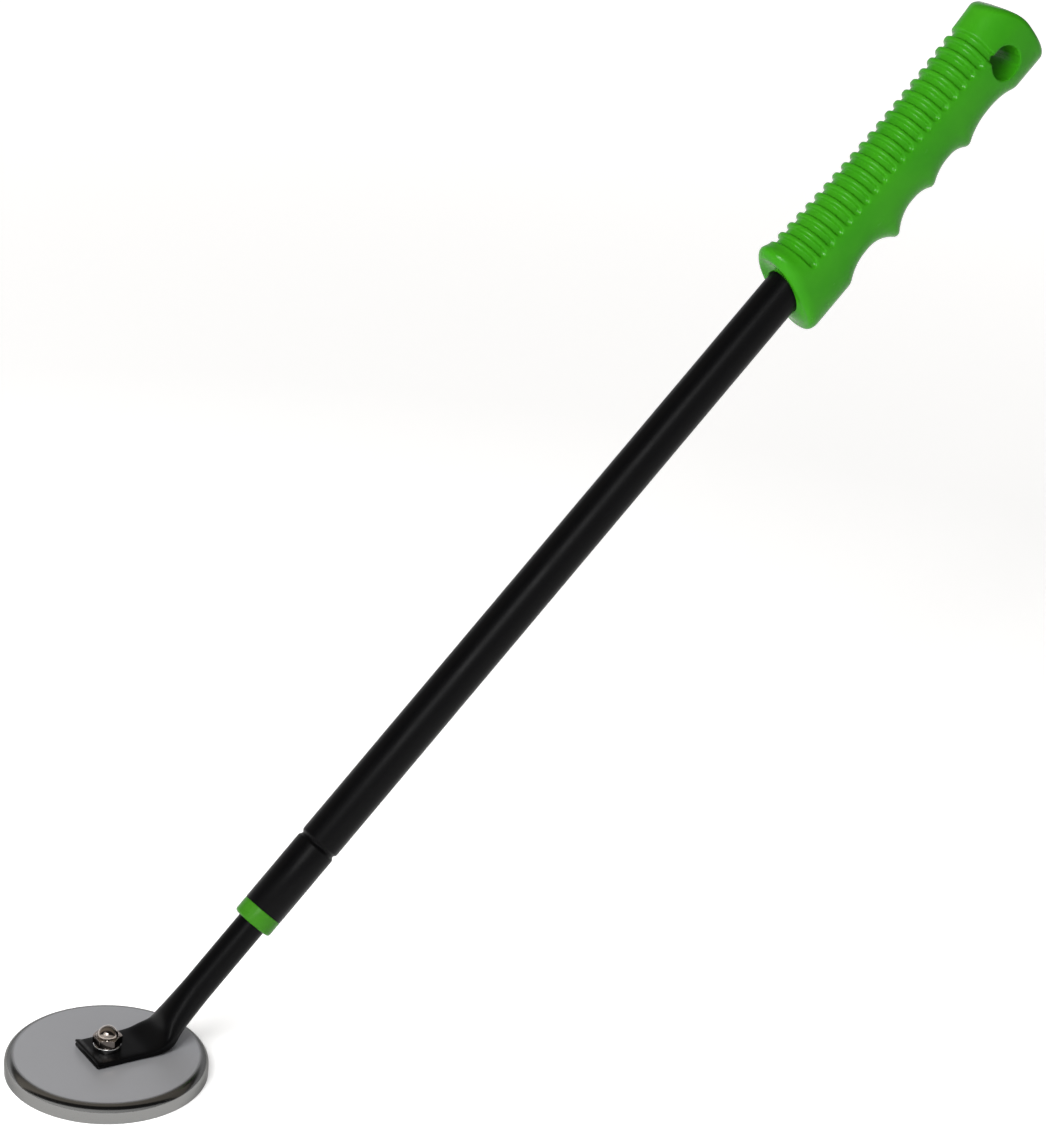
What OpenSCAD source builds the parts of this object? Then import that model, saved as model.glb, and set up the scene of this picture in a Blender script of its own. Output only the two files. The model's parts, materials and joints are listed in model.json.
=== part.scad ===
// Telescoping magnetic pickup tool: a flat pot magnet on a bent steel tube that slides
// in a second tube with a moulded grip.
// Origin: centre of the magnet's working face. +Z points away from that face.
// The rod leans along +X; "back" is its upper side and "finger side" its lower one.

/* [Magnet head] */
// Diameter of the steel cup
cup_d = 75; // [60:1:90]
// Height of the steel cup
cup_h = 7.1; // [6.5:0.1:12]
// Radius of the cup's upper edge
cup_edge_r = 3.4; // [2:0.1:3.6]
// Wall of the cup
cup_wall = 1.5; // [1:0.1:1.8]
// Diameter of the threaded stud
stud_d = 4.8; // [4:0.1:5]
// Width across the flats of the dome nut
nut_af = 9.5; // [9:0.1:11]
// Height of the dome nut
nut_h = 7; // [6.8:0.1:9]
// Diameter of the flat washer
washer_d = 10.4; // [10:0.1:13]
// Thickness of the flat washer
washer_t = 1.9; // [0.8:0.1:2.2]

/* [Rod] */
// Angle of the rod above the working face, in degrees
rod_angle = 46; // [40:1:55]
// Diameter of the sliding inner tube
inner_d = 11.4; // [11:0.1:12]
// Diameter of the outer tube
outer_d = 16.2; // [16:0.1:17]
// Wall of both tubes
tube_wall = 0.8; // [0.7:0.05:1]
// Width of the flattened end of the inner tube
tab_w = 19.5; // [16:0.5:21]
// Thickness of the flattened end
tab_t = 2.4; // [2:0.1:3]
// Distance from the stud's axis to the open edge of the tab
tab_end = 8.4; // [6:0.1:12]

/* [Lengths along the rod] */
// Where the green collar starts
collar_s = 57.3; // [50:0.1:70]
// Where the outer tube starts, at the collar's shoulder
mouth_s = 63.9; // [60:0.1:78]
// Middle of the groove rolled into the outer tube
groove_s = 95.4; // [90:0.1:100]
// Upper end of the inner tube when the tool is closed
inner_end_s = 445; // [430:1:446]
// Upper end of the outer tube
outer_end_s = 479; // [478:1:481]

/* [Grip] */
// Width of the grip
grip_w = 25; // [24:0.5:28]
// Front of the grip on the finger side
grip_front_s = 366; // [362:1:370]
// Far end of the grip
grip_end_s = 510.6; // [508:0.1:514]
// Number of grooves across the back
back_grooves = 21; // [12:1:21]
// Pitch of the grooves across the back
back_pitch = 5.29; // [5:0.01:5.3]
// Diameter of the hanging hole
hang_d = 14; // [10:0.5:14]

/* [Hidden] */
$fn = 96;

// magnet head
cup_r = cup_d / 2;
cup_top_t = 1.6;
magnet_h = cup_h - cup_top_t - 0.1;
bond_gap = 0.5;
magnet_r = cup_r - cup_wall - bond_gap;
magnet_bevel = 1;
stud_r = stud_d / 2;
play = 0.05;
tab_z = cup_h + play;
washer_z = tab_z + tab_t + play;
nut_z = washer_z + washer_t;
nut_wall_top = 1.7;
stud_top_z = nut_z + nut_h - nut_wall_top - 0.5;
hex_h = 3.5;
dome_r = 3.95;

// rod frame: local z runs up the rod, local x points to the finger side
rod_x = 18.1;
rod_z = cup_h;
inner_r = inner_d / 2;
outer_r = outer_d / 2;
bore_r = outer_r - tube_wall;
bore_start_s = 24;

// twist lock inside the outer tube
cam_offset = 0.7;
cam_play = 0.5;
flange_t = 2.5;
spindle_r = 3;
spindle_len = 10.2;
cam_len = 10;
cap_t = 2;
cam_screw_r = 1.5;
spindle_s = inner_end_s + flange_t;
cap_s = spindle_s + spindle_len;

// collar bush and rolled groove
slide_play = 0.06;
groove_depth = 0.8;
groove_half = 1.5;
spigot_end_s = groove_s + 5.6;
spigot_r = bore_r - 0.05;

// grip: "n" values are heights above the rod's axis on the back, and below it on the finger side
grip_r = grip_w / 2;
back_n = 17.2;
finger_n = 20.3;
lip_n = 19;
waist_sag = 3.3;
back_front_s = grip_front_s + 8.5;
back_end_s = grip_end_s - 7;
socket_end_s = outer_end_s + 1.2;
hang_s = 492.7;
hang_n = -2.1;
first_groove_s = 383.2;
back_groove_w = 2.5;
back_groove_depth = 1.5;
back_groove_end_n = 4.5;
// Peaks between the fingers: [place along the rod, n]
finger_peaks = [[391, finger_n], [418, 24], [441.5, 20.8], [462.8, 21.6], [490, finger_n]];
// Finger grooves: [place along the rod, n at the bottom of the groove, radius]
finger_grooves = [[404, 14.7, 16], [431, 16.4, 14.5], [453, 16.4, 14.2], [478, 16.5, 22]];

// Children are placed in the rod's own frame, at distance s up the rod.
module on_rod(s = 0) {
    translate([rod_x, 0, rod_z])
        rotate([0, 90 - rod_angle, 0])
            translate([0, 0, s])
                children();
}

module ring(r_out, r_in, h) {
    difference() {
        cylinder(r = r_out, h = h);
        translate([0, 0, -1]) cylinder(r = r_in, h = h + 2);
    }
}

function arc(cx, cy, r, from, to, steps = 8) =
    [for (i = [0 : steps]) let (a = from + (to - from) * i / steps) [cx + r * cos(a), cy + r * sin(a)]];

// ---- magnet head ----

module magnet_cup() {
    inner_wall_r = cup_r - cup_wall;
    inner_top_z = cup_h - cup_top_t;
    inner_edge_r = cup_edge_r - cup_wall;
    color([0.66, 0.66, 0.68])
        rotate_extrude($fn = 160)
            polygon(concat(
                [[stud_r, inner_top_z], [stud_r, cup_h]],
                arc(cup_r - cup_edge_r, cup_h - cup_edge_r, cup_edge_r, 90, 0),
                [[cup_r, 0.4], [cup_r - 0.4, 0], [inner_wall_r, 0]],
                arc(inner_wall_r - inner_edge_r, inner_top_z - inner_edge_r, inner_edge_r, 0, 90, 5)));
}

module magnet_disc() {
    color([0.16, 0.16, 0.17]) {
        cylinder(r = magnet_r, h = magnet_h - magnet_bevel, $fn = 160);
        translate([0, 0, magnet_h - magnet_bevel])
            cylinder(r1 = magnet_r, r2 = magnet_r - magnet_bevel, h = magnet_bevel, $fn = 160);
    }
}

// Cured epoxy in the gap between the magnet and the cup's wall.
module magnet_bond() {
    bond_z = 0.3;
    bond_h = magnet_h - magnet_bevel - bond_z - 0.9;
    color([0.3, 0.27, 0.2])
        translate([0, 0, bond_z])
            ring(magnet_r + bond_gap, magnet_r, bond_h, $fn = 160);
}

// Welded flush into the cup's centre hole.
module stud() {
    chamfer = 0.5;
    stud_z = cup_h - cup_top_t;
    color([0.7, 0.7, 0.72]) {
        translate([0, 0, stud_z]) cylinder(r = stud_r, h = stud_top_z - chamfer - stud_z);
        translate([0, 0, stud_top_z - chamfer])
            cylinder(r1 = stud_r, r2 = stud_r - chamfer, h = chamfer);
    }
}

module flat_washer() {
    color([0.75, 0.75, 0.77])
        translate([0, 0, washer_z])
            ring(washer_d / 2, stud_r + 0.2, washer_t);
}

module dome_nut() {
    corner_r = nut_af / 2 / cos(30);
    dome_z = nut_h - dome_r;
    color([0.78, 0.77, 0.74])
        translate([0, 0, nut_z])
            difference() {
                union() {
                    intersection() {
                        rotate([0, 0, 32]) cylinder(r = corner_r, h = hex_h, $fn = 6);
                        cylinder(r1 = nut_af / 2 + 0.3, r2 = nut_af / 2 + 4, h = 4);
                        translate([0, 0, hex_h - 4]) cylinder(r1 = nut_af / 2 + 4, r2 = nut_af / 2, h = 4);
                    }
                    cylinder(r = dome_r, h = dome_z);
                    translate([0, 0, dome_z]) sphere(r = dome_r);
                }
                translate([0, 0, -dome_r]) cylinder(r = 2 * dome_r, h = dome_r);
                translate([0, 0, -1]) cylinder(r = stud_r, h = nut_h - nut_wall_top + 1);
            }
}

// ---- inner tube: flat tab, pressed and bent neck, round tube ----

// One station of the neck: [x, z, tilt, width, thickness, roundness exponent].
// Its first and last stretches lie just inside the tab and the round tube, which they join.
inset = 0.1;
tab_mid_z = tab_z + tab_t / 2;
tab_x = 8;
tube_s = 27;
neck_d = inner_d - 2 * inset;
function rod_station(s, width, height, roundness) =
    [rod_x + s * cos(rod_angle), rod_z + s * sin(rod_angle), rod_angle, width, height, roundness];
neck_stations = [
    [tab_x - 1.5, tab_mid_z, 0, tab_w - 2 * inset, tab_t - 2 * inset, 8],
    [tab_x + 0.5, tab_mid_z, 0, tab_w - 2 * inset, tab_t - 2 * inset, 8],
    [13, tab_mid_z + 0.05, 1, tab_w + 0.4, tab_t, 7],
    [17.6, tab_mid_z + 0.75, 13, tab_w + 0.7, tab_t + 1.4, 5],
    [22, 10.7, 34, 18.2, 6.9, 3],
    rod_station(11, 14.5, 9.7, 2.3),
    rod_station(19, 12.3, 10.9, 2.1),
    rod_station(tube_s - 1, neck_d, neck_d, 2),
    rod_station(tube_s + 2.5, neck_d, neck_d, 2)];
neck_steps = 3;
neck_sides = 24;

function smooth_point(p0, p1, p2, p3, t) =
    0.5 * (2 * p1 + (p2 - p0) * t + (2 * p0 - 5 * p1 + 4 * p2 - p3) * t * t
           + (3 * p1 - p0 - 3 * p2 + p3) * t * t * t);
function station(i) = neck_stations[max(0, min(len(neck_stations) - 1, i))];
function neck_at(u) = let (i = min(floor(u), len(neck_stations) - 2))
    smooth_point(station(i - 1), station(i), station(i + 1), station(i + 2), u - i);
function power_sign(v, e) = sign(v) * pow(abs(v), e);
function neck_ring(st) = [for (k = [0 : neck_sides - 1])
    let (a = 360 * k / neck_sides,
         w = st[3] / 2 * power_sign(cos(a), 2 / st[5]),
         h = st[4] / 2 * power_sign(sin(a), 2 / st[5]))
    [st[0] - h * sin(st[2]), w, st[1] + h * cos(st[2])]];

module neck() {
    rings = (len(neck_stations) - 1) * neck_steps;
    last = rings * neck_sides;
    middle = (rings + 1) * neck_sides;
    ends = [neck_at(0), neck_at(len(neck_stations) - 1)];
    points = concat(
        [for (i = [0 : rings]) each neck_ring(neck_at(i / neck_steps))],
        [for (e = ends) [e[0], 0, e[1]]]);
    around = [for (k = [0 : neck_sides - 1]) [k, (k + 1) % neck_sides]];
    sides = [for (i = [0 : rings - 1], k = around, half = [0, 1])
        let (a = i * neck_sides + k[0], b = i * neck_sides + k[1])
        half == 0 ? [b, a, b + neck_sides] : [b + neck_sides, a, a + neck_sides]];
    first_cap = [for (k = around) [k[0], k[1], middle]];
    last_cap = [for (k = around) [last + k[1], last + k[0], middle + 1]];
    polyhedron(points, concat(sides, first_cap, last_cap), convexity = 6);
}

module inner_tube() {
    color([0.07, 0.07, 0.075])
        difference() {
            union() {
                translate([-tab_end, -tab_w / 2, tab_z]) cube([tab_end + tab_x, tab_w, tab_t]);
                neck();
                on_rod(tube_s) cylinder(r = inner_r, h = inner_end_s - tube_s);
            }
            on_rod(bore_start_s) cylinder(r = inner_r - tube_wall, h = inner_end_s);
            translate([0, 0, tab_z - 1]) cylinder(r = stud_r + 0.25, h = tab_t + 2);
        }
}

// ---- twist lock on the inner tube's upper end ----

// Nylon plug pressed into the inner tube, with an off-centre spindle.
module cam_plug() {
    press_len = 22;
    color([0.85, 0.84, 0.8])
        on_rod(inner_end_s)
            difference() {
                union() {
                    translate([0, 0, -press_len]) cylinder(r = inner_r - tube_wall, h = press_len);
                    cylinder(r = bore_r - 0.4, h = flange_t);
                    translate([cam_offset, 0, flange_t]) cylinder(r = spindle_r, h = spindle_len);
                }
                translate([cam_offset, 0, flange_t + spindle_len - 8]) cylinder(r = cam_screw_r, h = 9);
            }
}

// Ring that turns on the spindle and jams against the outer tube's wall.
module cam_ring() {
    ring_play = (spindle_len - cam_len) / 2;
    color([0.8, 0.25, 0.15])
        on_rod(spindle_s + ring_play)
            difference() {
                cylinder(r = bore_r - cam_play, h = cam_len);
                translate([cam_offset, 0, -1]) cylinder(r = spindle_r + 0.08, h = cam_len + 2);
            }
}

module cam_cap() {
    color([0.72, 0.72, 0.74])
        on_rod(cap_s)
            translate([cam_offset, 0, 0])
                ring(5.2, cam_screw_r, cap_t);
}

module cam_screw() {
    head_r = 2.8;
    head_h = 2.2;
    color([0.6, 0.6, 0.62])
        on_rod(cap_s + cap_t)
            translate([cam_offset, 0, 0]) {
                cylinder(r = head_r, h = head_h);
                translate([0, 0, -cap_t - 7]) cylinder(r = cam_screw_r, h = cap_t + 7);
            }
}

// ---- outer tube and what is on it ----

// Collar and guide bush in one moulding. The tube's rolled groove holds it.
module collar_bush() {
    edge = 1.2;
    bush_bore_r = inner_r + slide_play;
    waist_r = bore_r - groove_depth - 0.1;
    shoulder = mouth_s - collar_s;
    spigot_end = spigot_end_s - collar_s;
    waist_mid = groove_s - collar_s;
    waist_half = groove_half + 0.5;
    color([0.2, 0.62, 0.14])
        on_rod(collar_s)
            rotate_extrude()
                polygon(concat(
                    [[bush_bore_r, spigot_end], [bush_bore_r, 0]],
                    arc(outer_r - edge, edge, edge, -90, 0, 6),
                    [[outer_r, shoulder], [spigot_r, shoulder],
                     [spigot_r, waist_mid - waist_half], [waist_r, waist_mid - waist_half + 0.7],
                     [waist_r, waist_mid + waist_half - 0.7], [spigot_r, waist_mid + waist_half],
                     [spigot_r, spigot_end]]));
}

function groove_side(r, mid) = [for (i = [0 : 8]) let (t = i / 8)
    [r - groove_depth * (0.5 - 0.5 * cos(360 * t)), mid + groove_half * (2 * t - 1)]];

module outer_tube() {
    groove_mid = groove_s - mouth_s - play;
    tube_len = outer_end_s - mouth_s - play;
    inside = groove_side(bore_r, groove_mid);
    color([0.06, 0.06, 0.065])
        on_rod(mouth_s + play)
            rotate_extrude()
                polygon(concat(
                    [[bore_r, 0], [outer_r, 0]],
                    groove_side(outer_r, groove_mid),
                    [[outer_r, tube_len], [bore_r, tube_len]],
                    [for (i = [8 : -1 : 0]) inside[i]]));
}

module tube_cap() {
    plug_len = 11;
    color([0.1, 0.1, 0.11])
        on_rod(outer_end_s) {
            cylinder(r = outer_r, h = 1);
            translate([0, 0, -plug_len]) cylinder(r = bore_r, h = plug_len);
        }
}

// How high the back stands at distance s up the rod: it dips at the waist.
function back_height(s) =
    let (mid = (back_front_s + back_end_s) / 2, half = (back_end_s - back_front_s) / 2,
         t = min(1, abs(s - mid) / half))
    back_n - waist_sag * (1 - t * t);

// Outline of the grip seen from the side, x towards the finger side, y up the rod.
module grip_outline() {
    corner_r = 4;
    lip_len = 4;
    back_steps = 12;
    back_from = back_front_s + lip_len + 2;
    back = [for (i = [back_steps : -1 : 0])
        let (s = back_from + (back_end_s - 1 - back_from) * i / back_steps)
        [-back_height(s), s]];
    polygon(concat(
        [[-lip_n, back_front_s + lip_len], [-lip_n, back_front_s + 1.5], [-lip_n + 1.5, back_front_s]],
        arc(finger_n - corner_r, grip_front_s + corner_r, corner_r, 240, 360, 5),
        [for (p = finger_peaks) [p[1], p[0]]],
        arc(finger_n - corner_r, grip_end_s - 1.4 - corner_r, corner_r, 0, 85, 5),
        [[0, grip_end_s], [-6, grip_end_s - 0.7], [-10, grip_end_s - 2.3], [-13.5, grip_end_s - 4.4],
         [-back_n + 1, back_end_s]],
        back));
}

// Cross-section of the grip: a round back and a round finger side, with straight flanks.
module grip_section() {
    highest_peak = max([for (p = finger_peaks) p[1]]);
    back_c = -(lip_n - grip_r);
    finger_c = highest_peak - grip_r;
    translate([back_c, 0]) circle(r = grip_r);
    translate([finger_c, 0]) circle(r = grip_r);
    translate([back_c, -grip_r]) square([finger_c - back_c, grip_w]);
}

// Saddle-shaped cutter for one finger groove: a pulley whose waist follows the grip's round.
module finger_cutter(r) {
    steps = 6;
    half_w = grip_r - 0.6;
    waist = [for (i = [-steps : steps]) let (y = half_w * i / steps)
        [r + grip_r - sqrt(grip_r * grip_r - y * y), y]];
    rotate([90, 0, 0])
        rotate_extrude($fn = 64)
            polygon(concat([[0, -half_w]], waist, [[0, half_w]]));
}

// Grooves across the back that end part-way down each flank.
module back_groove_rings() {
    intersection() {
        for (i = [0 : back_grooves - 1]) {
            s = first_groove_s + i * back_pitch;
            translate([grip_r - back_height(s), 0, s - back_groove_w / 2])
                ring(grip_r + 8, grip_r - back_groove_depth, back_groove_w);
        }
        translate([-back_groove_end_n - 40, -30, grip_front_s]) cube([40, 60, 200]);
    }
}

module grip() {
    color([0.24, 0.6, 0.12])
        on_rod()
            difference() {
                intersection() {
                    translate([0, grip_r + 1, 0])
                        rotate([90, 0, 0])
                            linear_extrude(grip_w + 2) grip_outline();
                    translate([0, 0, grip_front_s - 1])
                        linear_extrude(grip_end_s - grip_front_s + 2) grip_section();
                }
                for (g = finger_grooves)
                    translate([g[1] + g[2], 0, g[0]]) finger_cutter(g[2]);
                back_groove_rings();
                translate([0, 0, grip_front_s - 5])
                    cylinder(r = outer_r, h = socket_end_s - grip_front_s + 5);
                translate([-hang_n, 0, hang_s])
                    rotate([90, 0, 0])
                        cylinder(d = hang_d, h = grip_w + 4, center = true);
            }
}

magnet_cup();
magnet_disc();
magnet_bond();
stud();
flat_washer();
dome_nut();
inner_tube();
cam_plug();
cam_ring();
cam_cap();
cam_screw();
collar_bush();
outer_tube();
tube_cap();
grip();
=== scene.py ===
"""Looks of a telescoping magnetic pickup tool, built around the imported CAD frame."""

import json
import math

import bmesh
import bpy
from mathutils import Matrix, Vector


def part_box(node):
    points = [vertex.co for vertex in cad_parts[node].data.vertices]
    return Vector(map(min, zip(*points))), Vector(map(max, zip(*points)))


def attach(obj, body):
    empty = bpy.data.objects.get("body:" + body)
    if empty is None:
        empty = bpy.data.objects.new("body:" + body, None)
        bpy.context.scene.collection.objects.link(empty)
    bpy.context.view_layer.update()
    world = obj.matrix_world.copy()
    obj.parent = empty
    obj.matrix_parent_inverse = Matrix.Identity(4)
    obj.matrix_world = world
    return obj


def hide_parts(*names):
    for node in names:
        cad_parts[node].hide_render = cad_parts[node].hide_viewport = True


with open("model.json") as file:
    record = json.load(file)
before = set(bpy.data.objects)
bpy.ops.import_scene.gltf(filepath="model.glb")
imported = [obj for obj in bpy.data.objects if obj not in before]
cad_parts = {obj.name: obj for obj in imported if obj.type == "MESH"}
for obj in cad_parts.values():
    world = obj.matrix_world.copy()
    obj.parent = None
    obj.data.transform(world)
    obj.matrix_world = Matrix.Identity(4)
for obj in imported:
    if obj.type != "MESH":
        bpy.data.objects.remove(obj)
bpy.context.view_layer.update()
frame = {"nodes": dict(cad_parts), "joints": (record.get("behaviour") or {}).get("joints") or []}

MM = 0.001
TAU = 2 * math.pi

# ---------------------------------------------------------------- the rod's own frame

joints = {joint["name"]: joint for joint in frame["joints"]}
ROD_START = Vector(joints["tube_twist"]["pos_m"])
ROD_DIR = Vector(joints["tube_twist"]["axis"]).normalized()
SIDE = Vector((0, 1, 0))
BACK = ROD_DIR.cross(SIDE).normalized()
if BACK.z < 0:
    BACK = -BACK


def on_rod(s, y, n):
    """The point s mm up the rod, y mm across it and n mm towards its back."""
    return ROD_START + (ROD_DIR * s + SIDE * y + BACK * n) * MM


def on_z(s, y, n):
    """The same for the magnet's own axis: s mm up, at (n, y) in plan."""
    return Vector((n, y, s)) * MM


def rod_span(node):
    """Where a CAD node starts and ends along the rod, and its largest radius, in mm."""
    places = [v.co - ROD_START for v in frame["nodes"][node].data.vertices]
    along = [p.dot(ROD_DIR) / MM for p in places]
    radii = [(p - ROD_DIR * p.dot(ROD_DIR)).length / MM for p in places]
    return min(along), max(along), max(radii)


def z_span(node):
    """Bottom, top and largest radius of a CAD node on the magnet's axis, in mm."""
    low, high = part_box(node)
    return low[2] / MM, high[2] / MM, high[1] / MM


# ---------------------------------------------------------------- mesh tools


def smoothstep(low, high, value):
    """0 up to low, 1 from high on, and a smooth rise between them."""
    t = min(1.0, max(0.0, (value - low) / (high - low)))
    return t * t * (3 - 2 * t)


def mix(a, b, t):
    return a + (b - a) * t


def signed_power(value, exponent):
    """A power of the value's size, with the value's sign."""
    return math.copysign(abs(value) ** exponent, value)


def add_object(name, mesh):
    """Puts a mesh in the scene. Its place is in the mesh, so the object stays at the origin."""
    obj = bpy.data.objects.new(name, mesh)
    bpy.context.scene.collection.objects.link(obj)
    return obj


def shade(mesh, sharp_deg):
    """Smooth shading, with edges sharper than sharp_deg left crisp."""
    mesh.shade_smooth()
    mesh.set_sharp_from_angle(angle=math.radians(sharp_deg))


def mesh_from_rings(name, rings, closed_loop=False, cap_start=False, cap_end=False, sharp_deg=35):
    """A skin over rings of points. closed_loop joins the last ring to the first."""
    bm = bmesh.new()
    rows = [[bm.verts.new(p) for p in ring] for ring in rings]
    count = len(rings[0])
    pairs = list(zip(rows, rows[1:]))
    if closed_loop:
        pairs.append((rows[-1], rows[0]))
    for low, high in pairs:
        for k in range(count):
            after = (k + 1) % count
            bm.faces.new((low[k], low[after], high[after], high[k]))
    if cap_start:
        cap(bm, rows[0])
    if cap_end:
        cap(bm, rows[-1])
    bmesh.ops.recalc_face_normals(bm, faces=bm.faces)
    mesh = bpy.data.meshes.new(name)
    bm.to_mesh(mesh)
    bm.free()
    shade(mesh, sharp_deg)
    return add_object(name, mesh)


def cap(bm, row):
    """Closes a ring with a fan, so that no face has many sides."""
    centre = bm.verts.new(sum((v.co for v in row), Vector()) / len(row))
    for a, b in zip(row, row[1:] + row[:1]):
        bm.faces.new((a, b, centre))


def rounded(corners, steps=6):
    """A closed outline of (r, s, radius) corners, each turned into an arc of that radius."""
    out = []
    count = len(corners)
    for i, (r, s, radius) in enumerate(corners):
        here = Vector((r, s))
        before = Vector(corners[i - 1][:2])
        after = Vector(corners[(i + 1) % count][:2])
        if radius == 0:
            out.append(here)
            continue
        u = (before - here).normalized()
        v = (after - here).normalized()
        half = u.angle(v) / 2
        reach = radius / math.tan(half)
        centre = here + (u + v).normalized() * (radius / math.sin(half))
        start = here + u * reach - centre
        turn = start.angle_signed(here + v * reach - centre)
        for k in range(steps + 1):
            angle = -turn * k / steps
            out.append(centre + Matrix.Rotation(angle, 2) @ start)
    return out


def lathe(name, outline, place, segments=160, sharp_deg=35):
    """Turns a closed outline of (r, s) points about the axis that place() follows."""
    rings = []
    for k in range(segments):
        c = math.cos(TAU * k / segments)
        d = math.sin(TAU * k / segments)
        rings.append([place(p[1], p[0] * d, p[0] * c) for p in outline])
    return mesh_from_rings(name, rings, closed_loop=True, sharp_deg=sharp_deg)


def cut(obj, cutter):
    """Takes cutter away from obj, and deletes cutter."""
    modifier = obj.modifiers.new("cut", "BOOLEAN")
    modifier.operation = "DIFFERENCE"
    modifier.solver = "EXACT"
    modifier.object = cutter
    bpy.context.view_layer.update()
    graph = bpy.context.evaluated_depsgraph_get()
    mesh = bpy.data.meshes.new_from_object(obj.evaluated_get(graph))
    obj.modifiers.clear()
    obj.data = mesh
    bpy.data.objects.remove(cutter)


def rod_cylinder(name, radius, start, end, place, segments=96):
    """A closed cylinder from start to end on the axis that place() follows."""
    rings = []
    for s in (start, end):
        ring = []
        for k in range(segments):
            angle = TAU * k / segments
            ring.append(place(s, radius * math.cos(angle), radius * math.sin(angle)))
        rings.append(ring)
    return mesh_from_rings(name, rings, cap_start=True, cap_end=True)


# ---------------------------------------------------------------- materials


class Paint:
    """A Principled material with procedural detail laid on by the methods below."""

    def __init__(self, name, colour, metallic=0.0, roughness=0.4):
        self.material = bpy.data.materials.new(name)
        self.material.use_nodes = True
        self.nodes = self.material.node_tree.nodes
        self.links = self.material.node_tree.links
        self.shader = self.nodes["Principled BSDF"]
        self.set("Base Color", (*colour, 1))
        self.set("Metallic", metallic)
        self.set("Roughness", roughness)
        self.place = self.nodes.new("ShaderNodeTexCoord").outputs["Object"]
        self.normal = None

    def set(self, socket, value):
        self.shader.inputs[socket].default_value = value

    def noise(self, scale, detail=4, distortion=0.0, stretch=None):
        """Noise of about 1/scale metres a cell, drawn out along an axis by stretch."""
        node = self.nodes.new("ShaderNodeTexNoise")
        node.inputs["Scale"].default_value = scale
        node.inputs["Detail"].default_value = detail
        node.inputs["Distortion"].default_value = distortion
        self.links.new(self.stretched(stretch), node.inputs["Vector"])
        return node.outputs["Fac"]

    def stretched(self, stretch):
        """Object coordinates, scaled and turned by stretch, which is (scale, rotation)."""
        if stretch is None:
            return self.place
        mapping = self.nodes.new("ShaderNodeMapping")
        mapping.inputs["Rotation"].default_value = stretch[1]
        mapping.inputs["Scale"].default_value = stretch[0]
        self.links.new(self.place, mapping.inputs["Vector"])
        return mapping.outputs["Vector"]

    def scaled(self, value, low, high, to_low, to_high):
        """Takes low..high of a node's output to to_low..to_high."""
        node = self.nodes.new("ShaderNodeMapRange")
        node.inputs["From Min"].default_value = low
        node.inputs["From Max"].default_value = high
        node.inputs["To Min"].default_value = to_low
        node.inputs["To Max"].default_value = to_high
        self.links.new(value, node.inputs["Value"])
        return node.outputs["Result"]

    def vary_roughness(self, value, low, high):
        self.links.new(self.scaled(value, 0.3, 0.7, low, high), self.shader.inputs["Roughness"])

    def vary_colour(self, value, dark, light, low=0.3, high=0.7):
        blend = self.nodes.new("ShaderNodeMix")
        blend.data_type = "RGBA"
        blend.inputs[6].default_value = (*dark, 1)
        blend.inputs[7].default_value = (*light, 1)
        self.links.new(self.scaled(value, low, high, 0, 1), blend.inputs[0])
        self.links.new(blend.outputs[2], self.shader.inputs["Base Color"])

    def link(self, socket, value):
        self.links.new(value, self.shader.inputs[socket])

    def mix_into(self, socket, share, value, other):
        """Drives a socket with value where share is 0, and with other where it is 1."""
        blend = self.nodes.new("ShaderNodeMix")
        for place, source in ((0, share), (2, value), (3, other)):
            self.links.new(source, blend.inputs[place])
        self.link(socket, blend.outputs[0])

    def radius(self):
        """Distance from the magnet's axis."""
        flat = self.nodes.new("ShaderNodeVectorMath")
        flat.operation = "MULTIPLY"
        flat.inputs[1].default_value = (1, 1, 0)
        self.links.new(self.place, flat.inputs[0])
        length = self.nodes.new("ShaderNodeVectorMath")
        length.operation = "LENGTH"
        self.links.new(flat.outputs[0], length.inputs[0])
        return length.outputs["Value"]

    def bump(self, value, distance, strength=1.0):
        """Adds a layer of bump on top of those already there."""
        node = self.nodes.new("ShaderNodeBump")
        node.inputs["Distance"].default_value = distance
        node.inputs["Strength"].default_value = strength
        self.links.new(value, node.inputs["Height"])
        if self.normal is not None:
            self.links.new(self.normal, node.inputs["Normal"])
        self.normal = node.outputs["Normal"]
        self.links.new(self.normal, self.shader.inputs["Normal"])


# Distances from the axis, in metres, between which the cup's plating turns from satin to bright.
CUP_EDGE_BAND = (0.0338, 0.0352)


def plated_cup():
    """Satin plating on the flat top, which turns bright where the edge rolls over."""
    satin_grey = (0.445, 0.45, 0.47)
    bright_grey = (0.22, 0.22, 0.215)
    paint = Paint("cup_plating", satin_grey)
    cloud = paint.noise(60, detail=6, distortion=0.6)
    satin = paint.scaled(cloud, 0.3, 0.7, 0.36, 0.44)
    bright = paint.scaled(cloud, 0.3, 0.7, 0.14, 0.2)
    edge = paint.scaled(paint.radius(), *CUP_EDGE_BAND, 0, 1)
    paint.mix_into("Roughness", edge, satin, bright)
    paint.link("Metallic", paint.scaled(edge, 0, 1, 0.4, 1))
    paint.vary_colour(edge, satin_grey, bright_grey, 0, 1)
    paint.set("Specular Tint", (0.45, 0.45, 0.45, 1))
    paint.bump(paint.noise(350, detail=3, stretch=((1, 9, 1), (0, 0, 0.5))), 0.000003)
    return paint.material


def bright_plating(name, colour):
    """Polished plating with faint clouding and hairline scuffs."""
    paint = Paint(name, colour, metallic=1.0)
    paint.vary_roughness(paint.noise(300, detail=6, distortion=0.6), 0.05, 0.13)
    paint.bump(paint.noise(900, detail=3, stretch=((1, 7, 1), (0.4, 0, 0.5))), 0.000003)
    return paint.material


def satin_black():
    """Black paint with a fine orange peel and slightly cloudy gloss."""
    paint = Paint("satin_black", (0.0016, 0.0016, 0.0018))
    paint.set("IOR", 1.17)
    paint.vary_roughness(paint.noise(90, detail=5), 0.3, 0.38)
    paint.bump(paint.noise(900, detail=2), 0.000012)
    return paint.material


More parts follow.
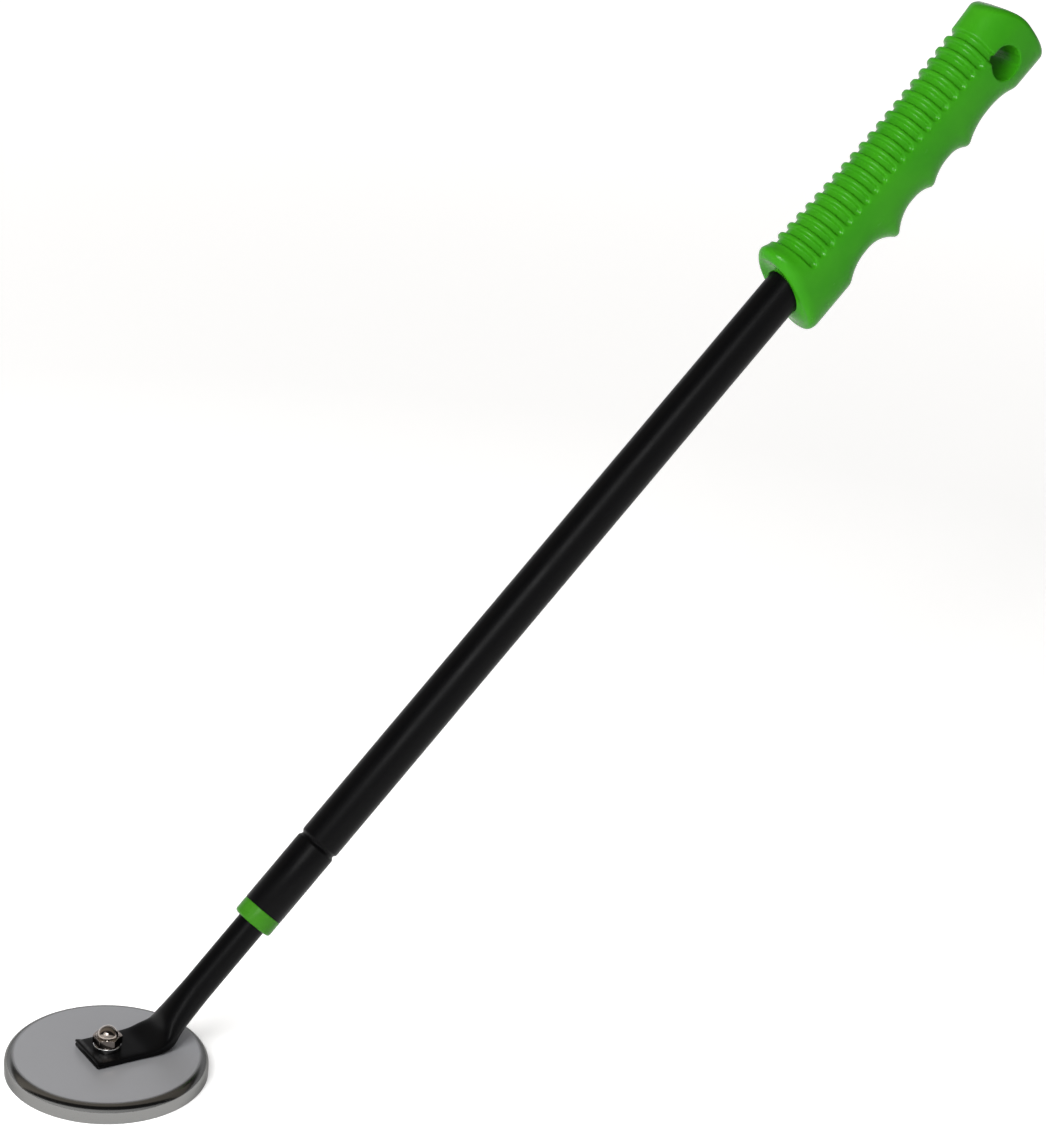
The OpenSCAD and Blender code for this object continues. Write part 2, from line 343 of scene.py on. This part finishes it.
def green_vinyl(name, dark, light):
    """Glossy green plastic with faint flow marks and a fine moulded skin."""
    paint = Paint(name, light)
    paint.set("IOR", 1.18)
    paint.vary_colour(paint.noise(35, detail=4, distortion=0.8), dark, light)
    paint.vary_roughness(paint.noise(160, detail=5), 0.17, 0.28)
    paint.bump(paint.noise(1400, detail=2), 0.00001)
    paint.bump(paint.noise(60, detail=3), 0.00005, 0.5)
    return paint.material


def ground_ferrite():
    """Dark ceramic, ground flat, with fine parallel marks."""
    paint = Paint("ground_ferrite", (0.045, 0.045, 0.05), metallic=0.25)
    marks = paint.noise(500, detail=4, stretch=((1, 14, 1), (0, 0, 0.3)))
    paint.vary_colour(paint.noise(120, detail=6), (0.035, 0.035, 0.038), (0.07, 0.07, 0.075))
    paint.vary_roughness(marks, 0.42, 0.62)
    paint.bump(marks, 0.00002)
    return paint.material


def moulded(name, dark, light, roughness):
    """A plain moulded plastic, for the pieces inside."""
    paint = Paint(name, light)
    paint.vary_colour(paint.noise(140, detail=4), dark, light)
    paint.vary_roughness(paint.noise(300, detail=4), roughness - 0.06, roughness + 0.06)
    paint.bump(paint.noise(1500, detail=2), 0.000015)
    return paint.material


def zinc_steel():
    """Dull zinc plating with fine marks along the turning."""
    paint = Paint("zinc_steel", (0.52, 0.52, 0.54), metallic=1.0)
    paint.vary_roughness(paint.noise(400, detail=5), 0.25, 0.42)
    paint.bump(paint.noise(700, detail=3, stretch=((1, 1, 8), (0, 0, 0))), 0.000006)
    return paint.material


CUP_PLATING = plated_cup()
# Painted shade: the nut's plating gets a dark brownish colour, far below the washer's, which stands for
# the dark reflections on its dome and hex.
NUT_PLATING_PAINTED_DARK = bright_plating("nut_plating_painted_dark", (0.32, 0.28, 0.25))
WASHER_PLATING = bright_plating("washer_plating", (0.6, 0.6, 0.6))
BLACK = satin_black()
GRIP_GREEN = green_vinyl("grip_green", (0.023, 0.198, 0.004), (0.032, 0.228, 0.006))
COLLAR_GREEN = green_vinyl("collar_green", (0.03, 0.15, 0.008), (0.036, 0.165, 0.01))
FERRITE = ground_ferrite()
EPOXY = moulded("epoxy", (0.14, 0.11, 0.07), (0.24, 0.2, 0.13), 0.3)
NYLON = moulded("nylon", (0.62, 0.6, 0.54), (0.74, 0.72, 0.67), 0.45)
RED_NYLON = moulded("red_nylon", (0.36, 0.03, 0.02), (0.5, 0.06, 0.04), 0.42)
BLACK_PLASTIC = moulded("black_plastic", (0.012, 0.012, 0.013), (0.03, 0.03, 0.032), 0.5)
ZINC = zinc_steel()


def finish_piece(obj, material, body, slot, *nodes):
    """Gives a new piece its material, its body and the CAD nodes that it stands for."""
    obj.data.materials.clear()
    obj.data.materials.append(material)
    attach(obj, body)
    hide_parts(*nodes)


def paint_node(node, material):
    """Puts a material on a CAD node that stays as it is."""
    data = frame["nodes"][node].data
    data.materials.clear()
    data.materials.append(material)


# ---------------------------------------------------------------- magnet head

# Lengths in mm, here and in the sections below.
CUP_EDGE_R = 3.4
CUP_WALL = 1.5
CUP_TOP = 1.6
STUD_R = 2.4
WASHER_PLAY = 0.2


def magnet_cup():
    """A pressed cup with one wall all over, open at the working face."""
    bottom, top, radius = z_span("magnet_cup")
    outline = rounded([
        (STUD_R, top - CUP_TOP, 0),
        (STUD_R, top, 0.1),
        (radius, top, CUP_EDGE_R),
        (radius, bottom, 0.3),
        (radius - CUP_WALL, bottom, 0.2),
        (radius - CUP_WALL, top - CUP_TOP, CUP_EDGE_R - CUP_WALL)], steps=12)
    cup = lathe("cup", outline, on_z, segments=240, sharp_deg=50)
    finish_piece(cup, CUP_PLATING, "magnet_head", "plated_cup", "magnet_cup")
    return cup


def flat_washer():
    """A washer with eased edges."""
    bottom, top, radius = z_span("flat_washer")
    hole = STUD_R + WASHER_PLAY
    outline = rounded([
        (hole, bottom, 0.12), (hole, top, 0.25), (radius, top, 0.3), (radius, bottom, 0.12)], steps=5)
    washer = lathe("washer", outline, on_z, segments=96)
    finish_piece(washer, WASHER_PLATING, "magnet_head", "plated_fastener", "flat_washer")


NUT_FLATS = 9.5
NUT_HEX_H = 3.5
NUT_DOME_R = 3.95
NUT_TURN = math.radians(32)


def dome_nut():
    """A hexagon with both edges chamfered, a short neck and a domed cap."""
    bottom, top, _ = z_span("dome_nut")
    flats = NUT_FLATS / 2
    sides = 144
    dome_z = top - NUT_DOME_R

    def hexagon(angle):
        in_side = (angle - NUT_TURN) % (TAU / 6) - TAU / 12
        return flats / math.cos(in_side)

    # (height, largest radius) up the nut: bearing face, lower chamfer, flats, upper chamfer, neck, dome.
    profile = [(bottom, STUD_R), (bottom, flats - 0.35)]
    profile += [(bottom + 0.02 + 0.5 * k / 4, flats - 0.3 + 1.2 * k / 4) for k in range(5)]
    profile += [(bottom + 0.5 + (NUT_HEX_H - 1.2) * k / 4, flats * 2) for k in range(1, 5)]
    profile += [(bottom + NUT_HEX_H - 0.6 + 0.6 * k / 5, flats + 1.15 - 1.25 * k / 5) for k in range(6)]
    profile += [(bottom + NUT_HEX_H + 0.02, NUT_DOME_R + 0.25), (bottom + NUT_HEX_H + 0.25, NUT_DOME_R)]
    profile += [(dome_z + NUT_DOME_R * math.sin(a), NUT_DOME_R * math.cos(a))
                for a in (math.radians(d) for d in range(0, 86, 5))]
    rings = []
    for z, limit in profile:
        ring = []
        for k in range(sides):
            angle = TAU * k / sides
            r = min(limit, hexagon(angle))
            ring.append(on_z(z, r * math.sin(angle), r * math.cos(angle)))
        rings.append(ring)
    nut = mesh_from_rings("dome_cap_nut", rings, cap_start=True, cap_end=True, sharp_deg=32)
    # The nut's darker plating colour is painted shade, the same polished plating as the washer's.
    finish_piece(nut, NUT_PLATING_PAINTED_DARK, "magnet_head", "plated_fastener", "dome_nut")


# ---------------------------------------------------------------- tubes and collar


def neck_section(x, z, tilt_deg, width, height, power, sides=96):
    """One ring of the flattened neck, square to a line tilted up from the X axis."""
    tilt = math.radians(tilt_deg)
    ring = []
    for k in range(sides):
        angle = TAU * k / sides
        w = width / 2 * signed_power(math.cos(angle), 2 / power)
        h = height / 2 * signed_power(math.sin(angle), 2 / power)
        ring.append(Vector((x - h * math.sin(tilt), w, z + h * math.cos(tilt))) * MM)
    return ring


def spline(stations, u):
    """A smooth curve through lists of numbers, at station number u."""
    i = min(int(u), len(stations) - 2)
    t = u - i
    p0 = stations[max(i - 1, 0)]
    p1 = stations[i]
    p2 = stations[i + 1]
    p3 = stations[min(i + 2, len(stations) - 1)]
    out = []
    for a, b, c, d in zip(p0, p1, p2, p3):
        out.append(0.5 * (2 * b + (c - a) * t + (2 * a - 5 * b + 4 * c - d) * t ** 2
                          + (3 * b - a - 3 * c + d) * t ** 3))
    return out


def rod_xz(s):
    """The x and z of a point of the rod's axis, in mm."""
    place = on_rod(s, 0, 0)
    return place.x / MM, place.z / MM


TUBE_D = 11.4
TAB_W = 19.5
TAB_T = 2.4
TAB_FLARE = 0.8
TAB_FLARE_END = -5.5
NECK_START_X = 8
NECK_END_S = 26
NECK_STEPS = 8


def neck_stations(tab_mid, angle):
    """Sections from tab to tube: [x, z, tilt, width, height, roundness]."""
    return [
        [NECK_START_X, tab_mid, 0, TAB_W, TAB_T, 7],
        [13, tab_mid + 0.05, 1, TAB_W + 0.5, TAB_T + 0.1, 7],
        [17.6, tab_mid + 0.75, 13, TAB_W + 0.8, TAB_T + 1.5, 5],
        [22, 10.7, 34, 18.3, 7.0, 3],
        [*rod_xz(11), angle, 14.6, 9.8, 2.3],
        [*rod_xz(19), angle, 12.4, 11.0, 2.1],
        [*rod_xz(NECK_END_S), angle, TUBE_D, TUBE_D, 2]]


def inner_tube():
    """Flattened tab with its two layers open at the end, pressed bend and round tube."""
    low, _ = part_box("inner_tube")
    tab_end = low[0] / MM
    tab_mid = low[2] / MM + TAB_T / 2
    _, tube_end, _ = rod_span("inner_tube")
    angle = math.degrees(math.atan2(ROD_DIR.z, ROD_DIR.x))
    stations = neck_stations(tab_mid, angle)
    bolt_play = 0.25
    end_chamfer = 0.4

    def tab_section(x, inset):
        rise = TAB_FLARE * (1 - smoothstep(tab_end, TAB_FLARE_END, x))
        return neck_section(x, tab_mid + rise / 2, 0, TAB_W - inset, TAB_T + rise - inset * 0.8, 7)

    rings = [tab_section(tab_end, 0.5), tab_section(tab_end + 0.12, 0.12)]
    rings += [tab_section(mix(tab_end + 0.4, TAB_FLARE_END, k / 6), 0) for k in range(7)]
    rings += [tab_section(mix(TAB_FLARE_END, NECK_START_X, t), 0) for t in (0.3, 0.6, 0.8)]
    neck_rings = (len(stations) - 1) * NECK_STEPS + 1
    rings += [neck_section(*spline(stations, i / NECK_STEPS)) for i in range(neck_rings)]
    straight = [mix(NECK_END_S, tube_end, t) for t in (0.02, 0.2, 0.4, 0.6, 0.8, 0.998, 1)]
    rings += [neck_section(*rod_xz(s), angle, TUBE_D, TUBE_D, 2) for s in straight[:-1]]
    end_d = TUBE_D - end_chamfer
    rings.append(neck_section(*rod_xz(straight[-1]), angle, end_d, end_d, 2))
    tube = mesh_from_rings("bent_inner_tube", rings, cap_start=True, cap_end=True, sharp_deg=50)
    cut(tube, rod_cylinder("bolt_hole", STUD_R + bolt_play, tab_mid - TAB_T, tab_mid + TAB_T, on_z))
    cut(tube, seam_wedge(tab_end, tab_mid))
    finish_piece(tube, BLACK, "inner_rod", "black_tube", "inner_tube")
    return tube


def seam_wedge(tab_end, tab_mid):
    """The gap between the tab's two layers, widest at the open end."""
    rings = []
    middle = tab_mid + TAB_FLARE / 2
    for y in (-TAB_W, TAB_W):
        corners = [(-0.5, -0.55), (2.6, -0.1), (2.6, 0), (-0.5, 0.5)]
        rings.append([Vector((tab_end + x, y, middle + z)) * MM for x, z in corners])
    return mesh_from_rings("seam", rings, cap_start=True, cap_end=True)


OUTER_R = 8.1
TUBE_WALL = 0.8
GROOVE_DEPTH = 0.8
GROOVE_HALF = 1.5
GROOVE_ABOVE_MOUTH = 31.5
COLLAR_SPIGOT_R = 7.25
COLLAR_WAIST_R = 6.4
COLLAR_PLAY = 0.06


def rolled_groove(radius, mouth, steps=14):
    """Points of the outline where the wall dips, from low to high along the rod."""
    middle = mouth + GROOVE_ABOVE_MOUTH
    points = []
    for k in range(steps + 1):
        t = 2 * k / steps - 1
        dip = GROOVE_DEPTH * (0.5 + 0.5 * math.cos(math.pi * t))
        points.append((radius - dip, middle + GROOVE_HALF * t))
    return points


def outer_tube():
    """A tube with an eased mouth and the rolled groove, both in its wall's outline."""
    mouth, end, _ = rod_span("outer_tube")
    bore = OUTER_R - TUBE_WALL
    outline = [(bore, mouth + 0.15), (bore + 0.15, mouth), (OUTER_R - 0.3, mouth),
               (OUTER_R - 0.09, mouth + 0.09), (OUTER_R, mouth + 0.3)]
    outline += rolled_groove(OUTER_R, mouth)
    outline += [(OUTER_R, mix(mouth, end, t)) for t in (0.25, 0.5, 0.75)]
    outline += [(OUTER_R, end - 0.2), (OUTER_R - 0.2, end), (bore, end)]
    outline += reversed(rolled_groove(bore, mouth))
    tube = lathe("painted_outer_tube", outline, on_rod, segments=144, sharp_deg=40)
    finish_piece(tube, BLACK, "handle", "black_tube", "outer_tube")
    return tube


def collar():
    """The ring that shows, and the spigot whose waist the tube's groove runs in."""
    start, end, radius = rod_span("collar_bush")
    mouth, _, _ = rod_span("outer_tube")
    shoulder = mouth - 0.05
    bore = TUBE_D / 2 + COLLAR_PLAY
    spigot = COLLAR_SPIGOT_R
    waist = COLLAR_WAIST_R
    middle = mouth + GROOVE_ABOVE_MOUTH
    half = GROOVE_HALF + 0.5
    outline = rounded([
        (bore, start, 0.5), (radius, start, 1.3), (radius, shoulder, 0.25), (spigot, shoulder, 0),
        (spigot, middle - half, 0), (waist, middle - half + 0.7, 0), (waist, middle + half - 0.7, 0),
        (spigot, middle + half, 0), (spigot, end, 0.3), (bore, end, 0.2)], steps=6)
    bush = lathe("green_collar", outline, on_rod, segments=144, sharp_deg=40)
    finish_piece(bush, COLLAR_GREEN, "collar", "green_collar", "collar_bush")
    return bush


# ---------------------------------------------------------------- grip

# S is a place along the rod, and N a height above its axis, towards the back. The section is a
# superellipse of power GRIP_POWER, widest at GRIP_CENTRE_N.
GRIP_SIDES = 192
GRIP_HALF_W = 12.4
GRIP_CENTRE_N = -1.0
GRIP_POWER = 2.35
BACK_N = 17.2
BACK_END_DROP = 7
WAIST_SAG = 3.3
LIP_RISE = 2.0
LIP_PLACE = 2.2
LIP_LENGTH = 3.0
FRONT_SLOPE = 0.21
FRONT_ROLL = 4.5
FRONT_ROLL_IN = 2.3
SOCKET_SLOPE = 0.39
SOCKET_DIP = -0.3
SOCKET_R = 8.5
END_CORNER_R = 2.2
# How far the end falls away at the back, at the finger side and at each flank.
END_FALL_BACK = 7.8
END_FALL_FINGER = 0.9
END_FALL_SIDE = 0.7
GROOVES = 21
GROOVE_PITCH = 5.29
FIRST_GROOVE_S = 383.2
# A back groove's floor ends this far from its middle, and its wall ends this far from it.
GROOVE_WALL = (0.95, 2.15)
GROOVE_DEEP = 1.5
GROOVE_END_N = 7.2
LAST_GROOVE_DEEP = 1.6
LAST_GROOVE_END_N = 4.2
HANG_S = 492.7
HANG_N = -2.1
HANG_R = 7.0
HANG_FILLET = 0.5

# Finger side: (place along the rod, depth below the axis), from peak to valley to peak.
FINGER_LINE = [
    (391, 20.3), (404, 14.6), (418, 24.0), (431, 16.4), (441.5, 20.8),
    (453, 16.4), (462.8, 21.6), (478, 16.4), (492, 20.3)]
# Away from a valley the depth grows as this power of the distance.
FINGER_POWER = 2.3


def finger_depth(s):
    """Arched valleys between fairly sharp peaks."""
    if s <= FINGER_LINE[0][0] or s >= FINGER_LINE[-1][0]:
        return FINGER_LINE[0][1]
    for i in range(0, len(FINGER_LINE) - 2, 2):
        valley_s, valley_n = FINGER_LINE[i + 1]
        for peak_s, peak_n in (FINGER_LINE[i], FINGER_LINE[i + 2]):
            t = (s - valley_s) / (peak_s - valley_s)
            if 0 <= t <= 1:
                return mix(valley_n, peak_n, t ** FINGER_POWER)
    return FINGER_LINE[0][1]


def soft_finger_depth(s, spread=1.1):
    """The same with the peaks rounded off."""
    offsets = (-1, -0.5, 0, 0.5, 1)
    return sum(finger_depth(s + spread * k) for k in offsets) / len(offsets)


def back_height(s, front, end):
    """The back dips at the waist, and swells into a lip at the front."""
    middle = (front + end) / 2
    t = min(1.0, abs(s - middle) / ((end - front) / 2))
    lip = LIP_RISE * math.exp(-((s - front - LIP_PLACE) / LIP_LENGTH) ** 2)
    return BACK_N - WAIST_SAG * (1 - t * t) + lip


def front_s(n, at_axis):
    """The front leans: it starts later on the back than on the finger side."""
    return at_axis + FRONT_SLOPE * n


def end_s(y, n, furthest):
    """The end is domed: it falls away towards the back, and a little to each side."""
    if n > 0:
        fall = END_FALL_BACK * (n / 17) ** 2.1
    else:
        fall = END_FALL_FINGER * (n / 18) ** 2
    return furthest - fall - END_FALL_SIDE * (y / GRIP_HALF_W) ** 2


def groove_depth_at(s, n):
    """How deep the grooves across the back are at this place."""
    nearest = round((s - FIRST_GROOVE_S) / GROOVE_PITCH)
    nearest = min(GROOVES - 1, max(0, nearest))
    across = s - FIRST_GROOVE_S - nearest * GROOVE_PITCH
    last = nearest == GROOVES - 1
    end_n = LAST_GROOVE_END_N if last else GROOVE_END_N
    deep = LAST_GROOVE_DEEP if last else GROOVE_DEEP
    distance = math.hypot(across, max(0.0, end_n - n))
    return deep * (1 - smoothstep(*GROOVE_WALL, distance))


def hang_fillet(s, n):
    """How far the flank is pulled in round the hanging hole."""
    gap = math.hypot(s - HANG_S, n - HANG_N) - HANG_R
    if gap >= HANG_FILLET:
        return 0.0
    t = 1 - max(0.0, gap) / HANG_FILLET
    return HANG_FILLET * (1 - math.sqrt(max(0.0, 1 - t * t)))


def grip_point(angle, inset, back, finger):
    """A point of the section, with its outward normal in the section's plane."""
    c = math.cos(angle)
    d = math.sin(angle)
    height = (back - GRIP_CENTRE_N) if d > 0 else (finger + GRIP_CENTRE_N)
    w = GRIP_HALF_W
    y = w * signed_power(c, 2 / GRIP_POWER)
    n = height * signed_power(d, 2 / GRIP_POWER)
    normal = Vector((signed_power(y / w, GRIP_POWER - 1) / w,
                     signed_power(n / height, GRIP_POWER - 1) / height)).normalized()
    y *= (w - inset) / w
    n *= (height - inset) / height
    return y, n + GRIP_CENTRE_N, normal


def grip_ring(place_s, inset, axis_front, axis_end):
    """One ring of the grip. place_s(y, n) says where along the rod each point lies."""
    ring = []
    for k in range(GRIP_SIDES):
        angle = TAU * k / GRIP_SIDES
        y, n, _ = grip_point(angle, inset, BACK_N, FINGER_LINE[0][1])
        s = place_s(y, n)
        back = back_height(s, axis_front + FRONT_SLOPE * BACK_N, axis_end)
        y, n, normal = grip_point(angle, inset, back, soft_finger_depth(s))
        depth = groove_depth_at(s, n)
        y -= normal.x * depth
        n -= normal.y * depth
        y -= math.copysign(hang_fillet(s, n), y)
        ring.append((s, y, n))
    return ring


def grip():
    """A stack of rings: nose, rolled front edge, ribbed length, rolled end edge and domed end."""
    step = 0.33
    start, furthest, _ = rod_span("grip")
    axis_front = start + FRONT_SLOPE * FINGER_LINE[0][1]
    axis_end = furthest - BACK_END_DROP
    _, _, tube_r = rod_span("outer_tube")

    def front_at(n):
        return front_s(n, axis_front)

    def ring_at(place, inset):
        return grip_ring(place, inset, axis_front, axis_end)

    rings = []
    quarter = [math.radians(90 * k / 6) for k in range(7)]
    for a in reversed(quarter):
        rings.append(ring_at(
            lambda y, n, a=a: front_at(n) + FRONT_ROLL * (1 - math.sin(a)),
            FRONT_ROLL_IN * (1 - math.cos(a))))
    count = int((furthest - start) / step)
    for i in range(1, count):
        t = i / count
        rings.append(ring_at(
            lambda y, n, t=t: mix(front_at(n) + FRONT_ROLL, end_s(y, n, furthest) - END_CORNER_R, t), 0))
    for a in quarter:
        rings.append(ring_at(
            lambda y, n, a=a: end_s(y, n, furthest) - END_CORNER_R * (1 - math.sin(a)),
            END_CORNER_R * (1 - math.cos(a))))
    rim = rings[-1]
    for t in (0.25, 0.5, 0.75, 0.93):
        rings.append([(end_s(y * (1 - t), n * (1 - t), furthest), y * (1 - t), n * (1 - t))
                      for _, y, n in rim])
    rings = grip_nose(rings[0], front_at, tube_r) + rings
    points = [[on_rod(*p) for p in ring] for ring in rings]
    body = mesh_from_rings("moulded_grip", points, cap_start=True, cap_end=True, sharp_deg=60)
    hole = rod_cylinder("hanging_hole", HANG_R, -2 * GRIP_HALF_W, 2 * GRIP_HALF_W, across_grip)
    cut(body, hole)
    shade(body.data, 50)
    finish_piece(body, GRIP_GREEN, "handle", "green_grip", "grip")


def across_grip(s, y, n):
    """Places a cylinder across the grip, on the hanging hole's axis."""
    return on_rod(HANG_S + y, s, HANG_N + n)


def grip_nose(rim, front_at, tube_r):
    """Rings from the bottom of the tube's socket, out of its mouth and up the dished front."""
    socket_depth = 14
    lead_in = 1.0
    rings = []

    def mouth_at(n):
        return front_at(0) + SOCKET_DIP + SOCKET_SLOPE * n

    def circle(radius, place):
        ring = []
        for k in range(GRIP_SIDES):
            y = radius * math.cos(TAU * k / GRIP_SIDES)
            n = radius * math.sin(TAU * k / GRIP_SIDES)
            ring.append((place(n), y, n))
        return ring

    inner = tube_r + 0.05
    rings.append(circle(inner, lambda n: front_at(0) + socket_depth))
    rings.append(circle(inner, lambda n: mouth_at(n) + lead_in))
    for a in (30, 60, 90):
        bend = math.radians(a)
        rings.append(circle(
            inner + (SOCKET_R - inner) * (1 - math.cos(bend)),
            lambda n, bend=bend: mouth_at(n) + lead_in * (1 - math.sin(bend))))
    edge = rings[-1]
    for t in (0.12, 0.25, 0.4, 0.55, 0.7, 0.85):
        ring = []
        for (_, y0, n0), (_, y1, n1) in zip(edge, rim):
            y = mix(y0, y1, t)
            n = mix(n0, n1, t)
            ring.append((mix(mouth_at(n), front_at(n), smoothstep(-0.25, 1, t)), y, n))
        rings.append(ring)
    return rings


# ---------------------------------------------------------------- stage

# Metres, degrees and millimetres of lens.
CAMERA_PLACE = Vector((-0.46196, -0.92097, 0.62451))
CAMERA_AZIMUTH = -34.30
CAMERA_ELEVATION = 21.87
CAMERA_ROLL = 4.88
CAMERA_LENS = 102.01


def camera():
    """A camera aimed by azimuth and elevation, with a small roll."""
    data = bpy.data.cameras.new("camera")
    data.lens = CAMERA_LENS
    data.sensor_width = 36
    data.clip_start = 0.01
    data.clip_end = 100
    obj = bpy.data.objects.new("camera", data)
    azimuth = math.radians(CAMERA_AZIMUTH)
    elevation = math.radians(CAMERA_ELEVATION)
    roll = math.radians(CAMERA_ROLL)
    turn = (Matrix.Rotation(azimuth, 4, "Z") @ Matrix.Rotation(math.pi / 2 - elevation, 4, "X")
            @ Matrix.Rotation(roll, 4, "Z"))
    obj.matrix_world = Matrix.Translation(CAMERA_PLACE) @ turn
    bpy.context.scene.collection.objects.link(obj)
    bpy.context.scene.camera = obj


def floor():
    """Pale paper that glows a little, more so away from the tool."""
    size = 30
    glow_distance = (0.8, 2.0)
    glow_strength = (0.45, 0.82)
    mesh = bpy.data.meshes.new("floor")
    corners = [(-size, -size, 0), (size, -size, 0), (size, size, 0), (-size, size, 0)]
    mesh.from_pydata(corners, [], [(0, 1, 2, 3)])
    obj = add_object("floor", mesh)
    paint = Paint("floor_paper", (0.85, 0.85, 0.85), roughness=0.9)
    paint.set("Specular IOR Level", 0)
    paint.set("Emission Color", (1, 1, 1, 1))
    glow = paint.scaled(paint.radius(), *glow_distance, *glow_strength)
    paint.link("Emission Strength", glow)
    mesh.materials.append(paint.material)


def soft_light(name, place, target, size, power):
    """An area light of size (width, height) that faces target."""
    data = bpy.data.lights.new(name, "AREA")
    data.shape = "RECTANGLE"
    data.size = size[0]
    data.size_y = size[1]
    data.energy = power
    obj = bpy.data.objects.new(name, data)
    obj.matrix_world = Matrix.Translation(place) @ (
        (Vector(target) - Vector(place)).to_track_quat("-Z", "Y").to_matrix().to_4x4())
    bpy.context.scene.collection.objects.link(obj)
    return obj


def keep_off(light, pieces):
    """Stops a light from reaching some pieces."""
    group = bpy.data.collections.new(light.name + "_receivers")
    for k, obj in enumerate(pieces):
        group.objects.link(obj)
        group.collection_objects[k].light_linking.link_state = "EXCLUDE"
    light.light_linking.receiver_collection = group


def lights(cup, plain):
    """A broad key from the left, its highlight, which the plain pieces don't get, and a front box."""
    middle = (0.18, 0, 0.2)
    left = (-1.1, -0.5, 1.15)
    key = soft_light("left_softbox", left, middle, (1.0, 1.0), 30)
    key.visible_glossy = False
    shine = soft_light("left_highlight", left, middle, (0.7, 0.7), 64)
    shine.visible_diffuse = False
    keep_off(shine, [cup, *plain])
    front = soft_light("front_softbox", (-0.62, -0.9, 1.08), middle, (0.55, 0.55), 7.2)
    keep_off(front, [cup])


# The studio, seen from the object, as bands of colour on an arc that rises from the horizon on the
# photographer's side, passes overhead and comes down on the far side: (from, to, colour), in degrees.
STUDIO_ARC = [
    (0, 34, (0.75, 0.75, 0.75)),
    (42, 80, (0.03, 0.03, 0.03)),
    (88, 128, (0.34, 0.31, 0.27)),
    (134, 142, (0.05, 0.05, 0.05)),
    (150, 180, (0.85, 0.85, 0.87))]
STUDIO_LEFT = 1.3
STUDIO_RIGHT = 0.55


def studio_world():
    """A world that depends only on direction: bands along the arc, brighter on the left."""
    world = bpy.data.worlds.new("studio")
    bpy.context.scene.world = world
    world.use_nodes = True
    nodes = world.node_tree.nodes
    links = world.node_tree.links
    direction = nodes.new("ShaderNodeTexCoord").outputs["Generated"]
    split = nodes.new("ShaderNodeSeparateXYZ")
    links.new(direction, split.inputs[0])
    front = nodes.new("ShaderNodeVectorMath")
    front.operation = "DOT_PRODUCT"
    azimuth = math.radians(CAMERA_AZIMUTH)
    front.inputs[1].default_value = (math.sin(azimuth), -math.cos(azimuth), 0)
    links.new(direction, front.inputs[0])
    arc = nodes.new("ShaderNodeMath")
    arc.operation = "ARCTAN2"
    links.new(split.outputs["Z"], arc.inputs[0])
    links.new(front.outputs["Value"], arc.inputs[1])
    share = nodes.new("ShaderNodeMapRange")
    share.inputs["From Max"].default_value = math.pi
    links.new(arc.outputs[0], share.inputs["Value"])
    ramp = nodes.new("ShaderNodeValToRGB")
    stops = ramp.color_ramp.elements
    while len(stops) < 2 * len(STUDIO_ARC):
        stops.new(1)
    edges = [(angle, colour) for low, high, colour in STUDIO_ARC for angle in (low, high)]
    for stop, (angle, colour) in zip(stops, edges):
        stop.position = angle / 180
        stop.color = (*colour, 1)
    links.new(share.outputs[0], ramp.inputs[0])
    side = nodes.new("ShaderNodeMapRange")
    side.inputs["From Min"].default_value = -1
    side.inputs["To Min"].default_value = STUDIO_LEFT
    side.inputs["To Max"].default_value = STUDIO_RIGHT
    links.new(split.outputs["X"], side.inputs["Value"])
    background = nodes["Background"]
    links.new(ramp.outputs["Color"], background.inputs["Color"])
    links.new(side.outputs[0], background.inputs["Strength"])


# ---------------------------------------------------------------- build

cup_piece = magnet_cup()
flat_washer()
dome_nut()
plain_pieces = [inner_tube(), outer_tube(), collar()]
grip()

for node, material in (
        ("magnet_disc", FERRITE), ("magnet_bond", EPOXY), ("stud", ZINC), ("cam_plug", NYLON),
        ("cam_ring", RED_NYLON), ("cam_cap", ZINC), ("cam_screw", ZINC), ("tube_cap", BLACK_PLASTIC)):
    paint_node(node, material)

camera()
floor()
lights(cup_piece, plain_pieces)
studio_world()
bpy.context.scene.view_settings.view_transform = "Standard"
